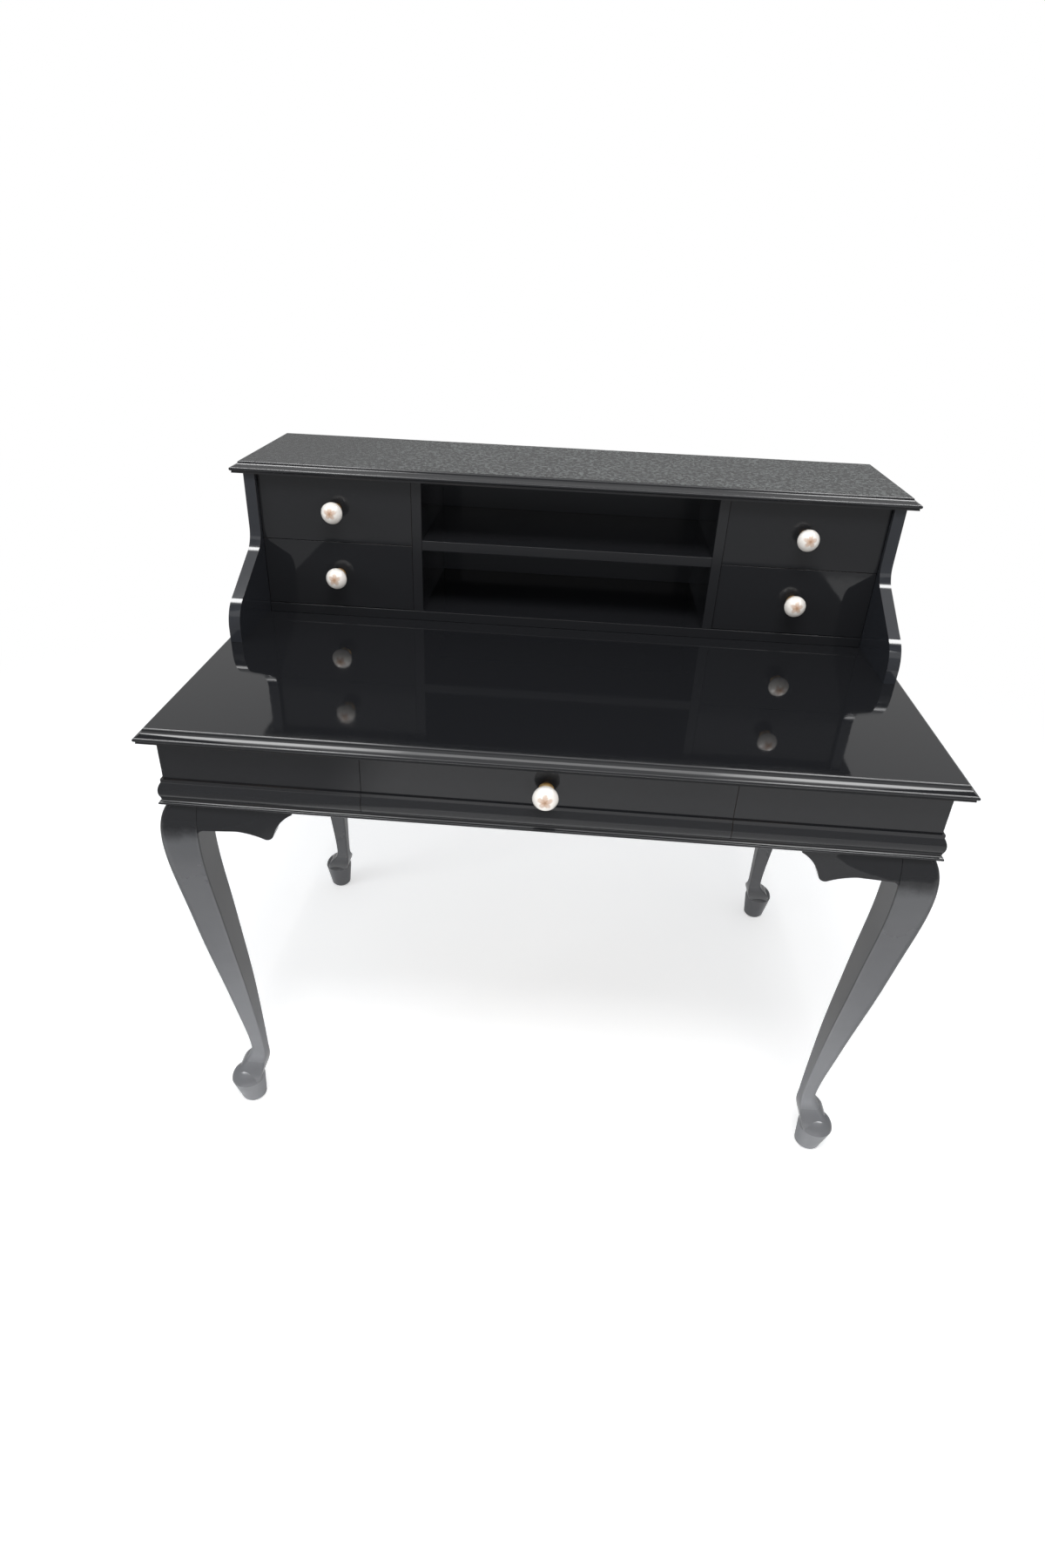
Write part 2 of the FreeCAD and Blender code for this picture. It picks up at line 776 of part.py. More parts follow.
def make_runner(label, side):
    piece = Piece(label, side * RUNNER_IN, FRONT + APRON_BACK, LIP_TOP)
    sketch = piece.sketch("XZ_Plane")
    high = size("apron_high")
    outline(sketch, [
        (0, size("runner_ledge_high")),
        (-side * size("runner_ledge_wide"), size("runner_ledge_high")),
        (-side * size("runner_ledge_wide"), 0),
        (side * size("runner_web"), 0),
        (side * size("runner_web"), high),
        (0, high),
    ])
    piece.pad(sketch, size("desk_depth") - 2 * APRON_BACK, backwards=True)
    return piece


def span(side, near, far):
    """A stretch of X on the given side, as its west and east ends."""
    return (near, far) if side > 0 else (-far, -near)


SCREW_HOLE = size("screw_radius") + size("screw_clear")
SCREW_DEPTH = size("screw_bite") + size("screw_clear")


def cleat_screw_places(sides=(-1, 1)):
    x = CLEAT_OUT - size("cleat_size") / 2
    edge = size("cleat_screw_edge")
    return [(side * x, y) for side in sides for y in (CLEAT_FRONT + edge, MIDDLE, CLEAT_REAR - edge)]


def gallery_screw_places():
    near = BASE_FRONT + size("gallery_screw_edge")
    far = PANEL_FRONT - size("gallery_screw_edge")
    x = RUNNER_OUT + size("gallery_screw_gap")
    return [(side * x, y) for side in (-1, 1) for y in (near, far)]


def make_cleat(label, side):
    west, east = span(side, CLEAT_IN, CLEAT_OUT)
    piece = board(label, west, east, CLEAT_FRONT, CLEAT_REAR, CLEAT_BASE, UNDER_TOP)
    for x, y in cleat_screw_places((side,)):
        piece.drill_up(x, y, SCREW_HOLE, CLEAT_BASE, UNDER_TOP)
    return piece


def make_screw(label, x, y, seat, length):
    """A round-headed screw that points up, with its head's flat under the seat."""
    piece = Piece(label, x, y, seat)
    sketch = piece.sketch("XZ_Plane")
    head = size("screw_head_radius")
    outline(sketch, [
        (0, -size("screw_head_high")),
        (head, 0, -QUARTER * size("screw_head_high")),
        (size("screw_radius"), 0),
        (size("screw_radius"), length),
        (0, length),
    ])
    piece.revolve(sketch)
    return piece


def make_screws(label, places, seat, length):
    join(label, [make_screw("%s_%d" % (label, number), x, y, seat, length)
                 for number, (x, y) in enumerate(places, start=1)])


# Gallery case: S-curved sides, a base board, two dividers, a shelf, dust boards, a back and the cap.

def make_gallery_side(label, side):
    west, east = span(side, GALLERY_IN, GALLERY_OUT)
    piece = Piece(label, west, GALLERY_REAR, TOP_LEVEL)
    foot = size("panel_foot_deep")
    head = size("panel_head_deep")
    hip = foot - size("panel_hip_back")
    sketch = piece.sketch("YZ_Plane")
    outline(sketch, [
        (0, 0),
        (-foot, 0),
        (-foot, size("panel_toe_high")),
        (-hip, size("panel_hip_high"), size("panel_hip_bow")),
        (-head - size("panel_waist_out"), size("panel_waist_high")),
        (-head, size("panel_neck_high"), -size("panel_waist_bow")),
        (-head, size("gallery_high")),
        (0, size("gallery_high")),
    ])
    piece.pad(sketch, size("panel_thick"))
    groove_west, groove_east = span(side, GALLERY_IN, GALLERY_IN + size("dado_deep"))
    piece.cut_box(groove_west, groove_east, DUST_FRONT, PANEL_FRONT, DUST_LOW, DUST_TOP)
    rebate_west, rebate_east = span(side, GALLERY_IN, GALLERY_IN + size("back_rebate"))
    piece.cut_box(rebate_west, rebate_east, PANEL_FRONT, GALLERY_REAR, TOP_LEVEL, GALLERY_TOP)
    return piece


def make_divider(label, side):
    west, east = span(side, DIVIDER_IN, DIVIDER_OUT)
    piece = board(label, west, east, DIVIDER_FRONT, PANEL_FRONT, BASE_TOP, GALLERY_TOP)
    inner_west, inner_east = span(side, DIVIDER_IN, DIVIDER_IN + size("dado_deep"))
    piece.cut_box(inner_west, inner_east, SHELF_FRONT, PANEL_FRONT, SHELF_LOW, SHELF_TOP)
    outer_west, outer_east = span(side, DIVIDER_OUT - size("dado_deep"), DIVIDER_OUT)
    piece.cut_box(outer_west, outer_east, DUST_FRONT, PANEL_FRONT, DUST_LOW, DUST_TOP)
    return piece


def make_dust_board(label, side):
    west, east = span(side, DIVIDER_OUT - size("dado_deep"), GALLERY_IN + size("dado_deep"))
    return board(label, west, east, DUST_FRONT, PANEL_FRONT, DUST_LOW, DUST_TOP)


def make_gallery_case():
    base = board("gallery_base", -GALLERY_IN, GALLERY_IN, BASE_FRONT, PANEL_FRONT, TOP_LEVEL, BASE_TOP)
    for x, y in gallery_screw_places():
        base.drill_up(x, y, SCREW_HOLE, TOP_LEVEL, TOP_LEVEL + SCREW_DEPTH)
    shelf_half = DIVIDER_IN + size("dado_deep")
    board("centre_shelf", -shelf_half, shelf_half, SHELF_FRONT, PANEL_FRONT, SHELF_LOW, SHELF_TOP)
    back_half = GALLERY_IN + size("back_rebate")
    board("gallery_back", -back_half, back_half, PANEL_FRONT, GALLERY_REAR, TOP_LEVEL, GALLERY_TOP)
    for name, side in (("left", -1), ("right", 1)):
        make_gallery_side("gallery_side_" + name, side)
        make_divider("divider_" + name, side)
        make_dust_board("dust_board_" + name, side)
    make_gallery_cap()


# Drawers: a front, two grooved sides, a back that stands on the bottom, and a china knob on a brass
# collar with a screw through the front.

def make_knob(label, x, face, z):
    piece = Piece(label, x, face, z)
    sketch = piece.sketch("XY_Plane")
    seat = size("collar_high")
    outline(sketch, [
        (0, -seat - size("knob_socket")),
        (size("knob_bore"), -seat - size("knob_socket")),
        (size("knob_bore"), -seat),
        (size("knob_back_radius"), -seat),
        (size("knob_radius"), -seat - size("knob_waist"), size("knob_back_bow")),
        (0, -seat - size("knob_high"), size("knob_dome_bow")),
    ])
    piece.revolve(sketch)
    return piece


def make_collar(label, x, face, z, front_thick):
    """The brass collar and the screw inside it, as two solids of one piece."""
    ring = Piece(label + "_ring", x, face, z)
    sketch = ring.sketch("XY_Plane")
    bore = size("knob_bore")
    neck = size("collar_neck_radius")
    sweep = size("collar_sweep")
    high = size("collar_high")
    outline(sketch, [
        (bore, 0),
        (size("collar_flange_radius"), 0),
        (size("collar_flange_radius"), -size("collar_flange")),
        (neck, -size("collar_flange") - sweep, -size("collar_sweep_bow")),
        (neck, -high + sweep),
        (size("collar_cup_radius"), -high, -size("collar_sweep_bow")),
        (bore, -high),
    ])
    ring.revolve(sketch)
    screw = Piece(label + "_screw", x, face, z)
    sketch = screw.sketch("XY_Plane")
    shank = bore - size("screw_clear")
    reach = high + size("knob_socket") - size("run_gap")
    head_top = front_thick + size("knob_screw_head_high")
    outline(sketch, [
        (0, head_top),
        (size("knob_screw_head_radius"), head_top),
        (size("knob_screw_head_radius"), front_thick),
        (shank, front_thick),
        (shank, -reach),
        (0, -reach),
    ])
    screw.revolve(sketch)
    join(label, [ring, screw])


def make_box_side(label, west, east, groove, box):
    """A drawer side with the bottom's groove on its inner face."""
    piece = board(label, west, east, box.front, box.back, box.low, box.high)
    piece.cut_box(groove[0], groove[1], box.front, box.back, box.bottom_low, box.bottom_top)
    return piece


class Box:
    """The planes of a drawer's box: outer sides, ends, and the levels of its bottom."""

    def __init__(self, west, east, front, deep, low, high, thick, bottom_rise, bottom_thick):
        self.west, self.east = west, east
        self.inner_west, self.inner_east = west + thick, east - thick
        self.tongue_west = self.inner_west - size("bottom_tongue")
        self.tongue_east = self.inner_east + size("bottom_tongue")
        self.front, self.back = front, front + deep
        self.back_front = self.back - thick
        self.low, self.high = low, high
        self.bottom_low = low + bottom_rise
        self.bottom_top = self.bottom_low + bottom_thick

    def groove_front(self, front):
        """The bottom's groove in the back of the drawer's front."""
        front.cut_box(self.tongue_west, self.tongue_east, self.front - size("bottom_tongue"), self.front,
                      self.bottom_low, self.bottom_top)

    def make_bottom(self, label):
        front = self.front - size("bottom_tongue")
        return board(label, self.tongue_west, self.tongue_east, front, self.back,
                     self.bottom_low, self.bottom_top)

    def make_left(self, label):
        return make_box_side(label, self.west, self.inner_west, (self.tongue_west, self.inner_west), self)

    def make_right(self, label):
        return make_box_side(label, self.inner_east, self.east, (self.inner_east, self.tongue_east), self)

    def make_back(self, label):
        return board(label, self.inner_west, self.inner_east, self.back_front, self.back,
                     self.bottom_top, self.high)


def make_small_drawer(label, side, upper):
    gap = size("joint_gap")
    west, east = span(side, DIVIDER_OUT + gap, GALLERY_IN - gap)
    if upper:
        low, high = JOINT_LEVEL + gap / 2, GALLERY_TOP - gap
        box_low, box_high = DUST_TOP + size("run_gap"), GALLERY_TOP - size("box_head_gap")
    else:
        low, high = BASE_TOP + gap, JOINT_LEVEL - gap / 2
        box_low, box_high = BASE_TOP + size("run_gap"), DUST_LOW - size("box_head_gap")
    box = Box(west, east, FRONT_BACK, size("box_deep"), box_low, box_high,
              size("box_side_thick"), size("box_bottom_rise"), size("box_bottom_thick"))
    front = board(label + "_front", west, east, FRONT_FACE, FRONT_BACK, low, high)
    box.groove_front(front)
    knob_x, knob_z = (west + east) / 2, (low + high) / 2
    front.drill_back(knob_x, knob_z, size("knob_bore"), FRONT_FACE, FRONT_BACK)
    box.make_bottom(label + "_bottom")
    join(label + "_box", [
        box.make_left(label + "_box_left"),
        box.make_right(label + "_box_right"),
        box.make_back(label + "_box_back"),
    ])
    make_knob(label + "_knob", knob_x, FRONT_FACE, knob_z)
    make_collar(label + "_collar", knob_x, FRONT_FACE, knob_z, size("front_thick"))


def make_centre_drawer():
    gap = size("joint_gap")
    half = CENTRE_HALF - gap
    front = Piece("centre_front", -half, FRONT, LIP_TOP)
    sketch = front.sketch("YZ_Plane")
    outline(sketch, apron_outline(1, gap, size("apron_high") - gap, APRON_BACK - size("stop_gap")))
    front.pad(sketch, 2 * half)
    outer = size("centre_box_half")
    box = Box(-outer, outer, CENTRE_BACK, size("centre_box_deep"),
              CENTRE_LOW, CENTRE_LOW + size("centre_box_high"),
              size("centre_side_thick"), size("centre_bottom_rise"), size("centre_bottom_thick"))
    box.groove_front(front)
    face = FRONT + size("fascia_inset")
    knob_z = LIP_TOP + size("centre_knob_rise")
    front.drill_back(Size.of(0), knob_z, size("knob_bore"), face, CENTRE_BACK)
    box.make_left("centre_side_left")
    box.make_right("centre_side_right")
    box.make_back("centre_back")
    box.make_bottom("centre_bottom")
    make_knob("centre_knob", 0, face, knob_z)
    make_collar("centre_collar", 0, face, knob_z, size("apron_thick") - size("stop_gap"))


def make_table():
    make_desk_top()
    for name, side in (("left", -1), ("right", 1)):
        make_leg("leg_front_" + name, side, -1)
        make_leg("leg_back_" + name, side, 1)
        join("ears_front_" + name, [
            make_ear("ear_front_%s_across" % name, side, -1, True),
            make_ear("ear_front_%s_along" % name, side, -1, False),
        ])
        make_ear("ears_back_" + name, side, 1, False)
        make_front_apron("apron_front_" + name, side)
        make_side_apron("apron_" + name, side)
        make_side_lip("lip_" + name, side)
        make_runner("runner_" + name, side)
        make_cleat("cleat_" + name, side)
    make_front_lip()
    make_back_apron()
    make_screws("top_screws", cleat_screw_places(), CLEAT_BASE, size("cleat_size") + size("screw_bite"))
    make_screws("gallery_screws", gallery_screw_places(), UNDER_TOP, size("top_thick") + size("screw_bite"))


def write_parts():
    """Checks every object, then writes one STEP file for each node."""
    doc.recompute()
    for item in doc.Objects:
        if "Invalid" in item.State or "Error" in item.State:
            raise ValueError("%s did not compute" % item.Label)
    parts = [item for item in doc.Objects
             if item.TypeId in ("PartDesign::Body", "Part::Compound") and item.Name not in joined]
    for item in parts:
        if item.Shape.isNull() or not item.Shape.isValid():
            raise ValueError("%s has no valid shape" % item.Label)
    os.makedirs("parts", exist_ok=True)
    for item in parts:
        item.Shape.exportStep("parts/%s.step" % item.Label)


make_table()
make_gallery_case()
make_centre_drawer()
for drawer_side_name, drawer_side in (("left", -1), ("right", 1)):
    make_small_drawer("upper_" + drawer_side_name, drawer_side, True)
    make_small_drawer("lower_" + drawer_side_name, drawer_side, False)
write_parts()
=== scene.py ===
import json
import math
from types import SimpleNamespace

import bpy
from mathutils import Matrix, Vector

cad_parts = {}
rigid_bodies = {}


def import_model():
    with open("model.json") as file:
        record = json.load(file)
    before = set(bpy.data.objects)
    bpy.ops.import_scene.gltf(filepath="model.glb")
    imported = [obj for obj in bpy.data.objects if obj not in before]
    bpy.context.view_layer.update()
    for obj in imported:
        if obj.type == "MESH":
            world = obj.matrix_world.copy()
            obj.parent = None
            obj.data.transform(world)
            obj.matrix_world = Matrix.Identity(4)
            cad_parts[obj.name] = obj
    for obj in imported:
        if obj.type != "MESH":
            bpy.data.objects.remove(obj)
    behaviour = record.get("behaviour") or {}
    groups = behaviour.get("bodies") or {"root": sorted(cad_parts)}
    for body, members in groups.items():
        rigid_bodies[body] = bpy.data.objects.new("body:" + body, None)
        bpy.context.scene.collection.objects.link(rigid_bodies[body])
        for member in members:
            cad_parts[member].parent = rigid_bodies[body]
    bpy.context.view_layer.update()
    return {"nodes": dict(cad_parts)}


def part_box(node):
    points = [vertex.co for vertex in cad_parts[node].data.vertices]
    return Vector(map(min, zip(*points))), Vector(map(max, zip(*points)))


for leftover in list(bpy.data.objects):
    bpy.data.objects.remove(leftover)
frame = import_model()
nodes = frame["nodes"]
scene = bpy.context.scene
scene.view_settings.view_transform = "Standard"


# The eye: somebody who stands close in front of the desk, a head above its gallery, and looks down
# along the top with the head tipped a little to one side.

eye_place = Vector((0.020, -1.400, 1.365))
eye_turn = math.radians(2.92)
eye_down = math.radians(31.0)
eye_tip = math.radians(2.53)
picture_high = 1800
focal_length = 1012.9

eye = bpy.data.cameras.new("eye")
eye.sensor_fit = "VERTICAL"
eye.sensor_height = 36
eye.lens = focal_length / picture_high * eye.sensor_height
eye_holder = bpy.data.objects.new("eye", eye)
scene.collection.objects.link(eye_holder)
level_look = Matrix.Rotation(math.pi / 2 - eye_down, 4, "X")
eye_holder.matrix_world = (Matrix.Translation(eye_place) @ Matrix.Rotation(eye_turn, 4, "Z")
                           @ level_look @ Matrix.Rotation(eye_tip, 4, "Z"))
scene.camera = eye_holder


# The room: a white studio. The eye, glossy surfaces and glass see it white, while its own light on the desk
# stays soft and low.

class Tone:
    """A number, colour or shader that a finish works out. Sums written on numbers become nodes."""

    def __init__(self, finish, socket):
        self.finish = finish
        self.socket = socket

    def worked(self, operation, left, right=0.0, clamp=False):
        return self.finish.node("Math", {"operation": operation, "use_clamp": clamp}, {0: left, 1: right})

    def __add__(self, other):
        return self.worked("ADD", self, other)

    __radd__ = __add__

    def __sub__(self, other):
        return self.worked("SUBTRACT", self, other)

    def __rsub__(self, other):
        return self.worked("SUBTRACT", other, self)

    def __mul__(self, other):
        return self.worked("MULTIPLY", self, other)

    __rmul__ = __mul__

    def __truediv__(self, other):
        return self.worked("DIVIDE", self, other)

    def __pow__(self, other):
        return self.worked("POWER", self, other)

    def __abs__(self):
        return self.worked("ABSOLUTE", self)

    def clamped(self):
        """The number kept between 0 and 1."""
        return self.worked("ADD", self, 0.0, clamp=True)

    def between(self, low, high):
        """0 up to low, 1 from high, and a soft step in between."""
        settings = {"interpolation_type": "SMOOTHSTEP"}
        return self.finish.node("MapRange", settings, {0: self, 1: low, 2: high, 3: 0.0, 4: 1.0})


class Finish:
    """The nodes of one finish, or of the room's light."""

    def __init__(self, owner):
        owner.use_nodes = True
        self.tree = owner.node_tree

    def node(self, kind, settings=None, sockets=None, output=0):
        """Adds a node of that kind, with its settings, then its sockets' values or links."""
        made = self.tree.nodes.new("ShaderNode" + kind)
        for name, value in (settings or {}).items():
            setattr(made, name, value)
        for place, value in (sockets or {}).items():
            self.feed(made.inputs[place], value)
        return Tone(self, made.outputs[output])

    def feed(self, socket, value):
        if isinstance(value, Tone):
            self.tree.links.new(value.socket, socket)
        else:
            socket.default_value = value

    def along(self, axis, vector):
        """A place's or a direction's number along one axis."""
        return self.node("SeparateXYZ", sockets={0: vector}, output=axis)

    def blend(self, share, first, second):
        """The first colour, with a share of the second mixed in."""
        return self.node("Mix", {"data_type": "RGBA"}, {0: share, 6: first, 7: second}, 2)

    def shaders_mixed(self, share, first, second):
        return self.node("MixShader", sockets={0: share, 1: first, 2: second})

    def shown(self, shader):
        """Makes this shader the one that the finish ends in."""
        self.feed(self.tree.get_output_node("ALL").inputs["Surface"], shader)


def seen_directly(finish):
    """1 for what the eye, a glossy surface or glass sees, 0 for light that falls on the desk."""
    by_eye = finish.node("LightPath", output="Is Camera Ray")
    by_gloss = finish.node("LightPath", output="Is Glossy Ray")
    by_glass = finish.node("LightPath", output="Is Transmission Ray")
    return (by_eye + by_gloss + by_glass).clamped()


room_white = (1.0, 1.0, 1.0, 1.0)
room_daylight = (0.93, 0.96, 1.0, 1.0)
daylight_level = 0.42

room_world = bpy.data.worlds.new("room")
scene.world = room_world
room = Finish(room_world)
room_light = room.node("Background", sockets={"Color": room_daylight, "Strength": daylight_level})
room_walls = room.node("Background", sockets={"Color": room_white, "Strength": 1.0})
room.shown(room.shaders_mixed(seen_directly(room), room_light, room_walls))


# The floor: a sheet of pale matt paper that keeps the desk's soft shadow. It is lit from within a little,
# and fades into the white of the room where the shadow has ended.

floor_wide = 24.0
floor_drop = 0.0001
floor_pale = (0.86, 0.86, 0.86, 1.0)
floor_rough = 0.9
floor_lift = 0.50
shadow_reach = 1.5
shadow_end = 2.6


def flat_sheet(name, wide, deep):
    """A level rectangle of one face."""
    mesh = bpy.data.meshes.new(name)
    x = wide / 2
    y = deep / 2
    mesh.from_pydata([(-x, -y, 0), (x, -y, 0), (x, y, 0), (-x, y, 0)], [], [(0, 1, 2, 3)])
    sheet = bpy.data.objects.new(name, mesh)
    scene.collection.objects.link(sheet)
    return sheet


floor = flat_sheet("floor", floor_wide, floor_wide)
floor.location.z = -floor_drop
floor_material = bpy.data.materials.new("pale_floor")
floor_finish = Finish(floor_material)
floor_shader = floor_finish.tree.nodes["Principled BSDF"]
floor_shader.inputs["Base Color"].default_value = floor_pale
floor_shader.inputs["Roughness"].default_value = floor_rough
floor_paper = Tone(floor_finish, floor_shader.outputs[0])
floor_glow = floor_finish.node("Emission", sockets={"Color": room_white, "Strength": floor_lift})
floor_near = floor_finish.node("AddShader", sockets={0: floor_paper, 1: floor_glow})
floor_far = floor_finish.node("Emission", sockets={"Color": room_white, "Strength": 1.0})
floor_place = floor_finish.node("TexCoord", output="Object")
floor_away = floor_finish.node("VectorMath", {"operation": "LENGTH"}, {0: floor_place}, "Value")
floor_seen = floor_finish.shaders_mixed(floor_away.between(shadow_reach, shadow_end), floor_near, floor_far)
floor_finish.shown(floor_finish.shaders_mixed(seen_directly(floor_finish), floor_paper, floor_seen))
floor.data.materials.append(floor_material)


# The cards: sheets of card round the desk that only glossy surfaces see. Grey ones on the walls and the floor
# keep the white room off the lacquer, bright ones overhead draw lines of light along the mouldings, and two
# small dark flags keep the strips off the gallery's sides.

upward = Vector((0, 0, 1))
downward = Vector((0, 0, -1))
to_front = Vector((0, -1, 0))
to_back = Vector((0, 1, 0))
overhead = 3.1
strips_before = -1.3


def hang_card(name, wide, deep, place, facing, glow, fade=0.0):
    """A card of one glow. Its rim fades to white over a share of its half width and half depth."""
    card = flat_sheet(name, wide, deep)
    card.matrix_world = Matrix.Translation(place) @ facing.to_track_quat("Z", "Y").to_matrix().to_4x4()
    material = bpy.data.materials.new(name)
    finish = Finish(material)
    light = finish.node("Emission", sockets={"Color": room_white, "Strength": glow})
    if fade:
        spot = finish.node("TexCoord", output="Object")
        from_sides = 1 - abs(finish.along("X", spot)) / (wide / 2)
        from_ends = 1 - abs(finish.along("Y", spot)) / (deep / 2)
        inside = from_sides.between(0.0, fade) * from_ends.between(0.0, fade)
        rim = finish.node("Emission", sockets={"Color": room_white, "Strength": 1.0})
        light = finish.shaders_mixed(inside, rim, light)
    finish.shown(light)
    card.data.materials.append(material)
    card.visible_camera = False
    card.visible_diffuse = False
    card.visible_shadow = False
    card.visible_transmission = False


hang_card("card_behind", wide=9.0, deep=2.4, place=(0.0, 3.0, 3.1), facing=to_front, glow=0.56)
hang_card("card_behind_low", wide=9.0, deep=1.1, place=(0.0, 3.0, 1.35), facing=to_front, glow=0.33)
hang_card("card_before", wide=7.0, deep=2.4, place=(0.0, -2.9, 1.2), facing=to_back, glow=0.38)
hang_card("card_floor", wide=2.6, deep=2.4, place=(-1.75, -1.95, 0.004), facing=upward, glow=0.40, fade=0.2)
hang_card("card_floor_right", wide=3.6, deep=2.4, place=(1.35, -1.95, 0.003), facing=upward,
          glow=0.86, fade=0.5)
hang_card("card_floor_behind", wide=1.16, deep=2.4, place=(0.0, 2.2, 0.004), facing=upward,
          glow=0.36, fade=0.05)
hang_card("strip_middle", wide=1.3, deep=0.8, place=(0.0, strips_before, overhead), facing=downward, glow=4.0)
for hand, side in ((-1, "left"), (1, "right")):
    hang_card("card_" + side, wide=6.0, deep=2.6, place=(hand * 3.2, 0.0, 1.3),
              facing=Vector((-hand, 0, 0)), glow=0.36)
    hang_card("card_beside_" + side, wide=3.4, deep=4.0, place=(hand * 2.28, 1.3, 0.003),
              facing=upward, glow=0.36, fade=0.05)
    hang_card("strip_" + side, wide=2.9, deep=1.3, place=(hand * 1.70, strips_before, overhead + 0.02),
              facing=downward, glow=11.5, fade=0.6)
    hang_card("patch_" + side, wide=1.8, deep=0.9, place=(hand * 1.40, 0.10, overhead),
              facing=downward, glow=20.0, fade=0.6)
    flag_place = Vector((hand * 0.90, -0.44, 1.65))
    under_strip = Vector((hand * 1.55, strips_before, overhead))
    hang_card("flag_" + side, wide=0.24, deep=0.66, place=flag_place, facing=under_strip - flag_place,
              glow=0.10)


# The lamps: three soft boxes, one overhead, one like a window on the left and a low one in front. Glossy
# surfaces see the cards in their stead.

def hang_lamp(name, place, aim, wide, deep, watts, colour=(1.0, 1.0, 1.0)):
    """A soft rectangular lamp that hangs at a place and faces its aim."""
    lamp = bpy.data.lights.new(name, "AREA")
    lamp.shape = "RECTANGLE"
    lamp.size = wide
    lamp.size_y = deep
    lamp.energy = watts
    lamp.color = colour
    holder = bpy.data.objects.new(name, lamp)
    scene.collection.objects.link(holder)
    holder.location = place
    holder.rotation_euler = (Vector(aim) - Vector(place)).to_track_quat("-Z", "Y").to_euler()
    holder.visible_glossy = False


hang_lamp("ceiling_lamp", place=(0.1, strips_before, overhead), aim=(0.0, 0.0, 0.7),
          wide=1.5, deep=0.9, watts=46.0)
hang_lamp("window_lamp", place=(-3.0, -1.4, 2.0), aim=(0.0, 0.0, 0.6),
          wide=1.4, deep=1.8, watts=24.0, colour=(0.95, 0.98, 1.0))
hang_lamp("low_lamp", place=(0.4, -3.2, 0.7), aim=(0.0, 0.0, 0.6),
          wide=2.2, deep=1.0, watts=26.0, colour=(1.0, 0.97, 0.94))


# The desk: its top, aprons and mouldings carry black polyester lacquer, sprayed and polished to a mirror. The
# coat has a faint ripple and soft hand marks, and is rubbed thin to brown along the edges.

lacquer_black = (0.0135, 0.0140, 0.0158, 1.0)
lacquer_rubbed = (0.050, 0.034, 0.024, 1.0)
lacquer_ior = 1.5
desk_gloss = 0.035
marks_dull = 0.05
coat_thick = 0.0004
ripple_share = 0.6
grit_share = 0.05
usual_relief = 0.12
rub_reach = 0.0015
rub_from = 0.02
rub_full = 0.25
rub_share = 0.6
rub_dull = 0.2
arris = 0.0010


def finish_for(name):
    """A new material with its finish and its shader's sockets."""
    material = bpy.data.materials.new(name)
    finish = Finish(material)
    return material, finish, finish.tree.nodes["Principled BSDF"].inputs


def edge_rub(finish):
    """1 on edges and corners, 0 on flats."""
    eased = finish.node("Bevel", {"samples": 6}, {"Radius": rub_reach})
    true = finish.node("NewGeometry", output="Normal")
    likeness = finish.node("VectorMath", {"operation": "DOT_PRODUCT"}, {0: eased, 1: true}, "Value")
    return (1 - likeness).between(rub_from, rub_full)


def lacquer_coat(name, gloss, black=lacquer_black):
    """A coat before it is sprayed: its place on the piece, colour, roughness and height."""
    material, finish, shader = finish_for(name)
    place = finish.node("TexCoord", output="Object")
    cloud = finish.node("TexNoise", sockets={"Vector": place, "Scale": 7.0, "Detail": 4.0, "Roughness": 0.6})
    ripple = finish.node("TexNoise", sockets={"Vector": place, "Scale": 55.0, "Detail": 2.0})
    grit = finish.node("TexNoise", sockets={"Vector": place, "Scale": 420.0, "Detail": 3.0,
                                            "Roughness": 0.7})
    handled = cloud.between(0.42, 0.66)
    rub = edge_rub(finish) * handled * rub_share
    marks = cloud.between(0.35, 0.75)
    return SimpleNamespace(material=material, finish=finish, shader=shader, place=place,
                           colour=finish.blend(rub, black, lacquer_rubbed),
                           roughness=gloss + marks * marks_dull + rub * rub_dull,
                           height=ripple * ripple_share + grit * grit_share)


def sprayed(coat, relief=usual_relief):
    """The material of a coat. Relief is the share of its height that shows."""
    coat.finish.feed(coat.shader["Base Color"], coat.colour)
    coat.finish.feed(coat.shader["Roughness"], coat.roughness)
    coat.shader["IOR"].default_value = lacquer_ior
    bump = coat.finish.node("Bump", sockets={"Strength": relief, "Distance": coat_thick,
                                             "Height": coat.height})
    coat.finish.feed(coat.shader["Normal"], bump)
    return coat.material


def dress(names, material):
    """Gives the named pieces this material."""
    for name in names:
        nodes[name].material_slots[0].material = material


def ease(names, radius):
    """Takes the sharpness off the arrises, as sanding before the lacquer does."""
    for name in names:
        joined = nodes[name].modifiers.new("joined", "WELD")
        joined.merge_threshold = 0.00001
        eased = nodes[name].modifiers.new("eased", "BEVEL")
        eased.width = radius
        eased.segments = 2
        eased.limit_method = "ANGLE"
        eased.angle_limit = math.radians(35)
        eased.harden_normals = True
        eased.use_clamp_overlap = False


def made_of(stuff):
    """The names of all nodes that come in this material."""
    return [name for name in nodes if nodes[name].material_slots[0].material.name.startswith(stuff)]


dress(made_of("lacquer"), sprayed(lacquer_coat("case_lacquer", desk_gloss)))
ease(["apron_back"], arris)


# The gallery's sides and back panel: their coat is a little less polished than the desk's, and its black is
# painted a shade lighter and bluer, as painted light on their dark faces.

# painted light: a lighter, bluer black than the desk's
side_black_painted_lighter = (0.025, 0.027, 0.032, 1.0)
side_gloss = 0.055

dress(["gallery_side_left", "gallery_side_right", "gallery_back"],
      sprayed(lacquer_coat("side_lacquer", side_gloss, side_black_painted_lighter)))


# The gallery's base, shelf and dividers: thin boards with eased arrises. Inside the pigeonholes the shelf and
# the dividers carry a coat that is nowhere polished, with painted light in its colour: black at the front, a
# painted grey toward the back.

lining_painted_grey = (0.075, 0.078, 0.086, 1.0)
lining_gloss = 0.16
painted_light_from = 0.130
painted_light_full = 0.330
base_arris = 0.0012

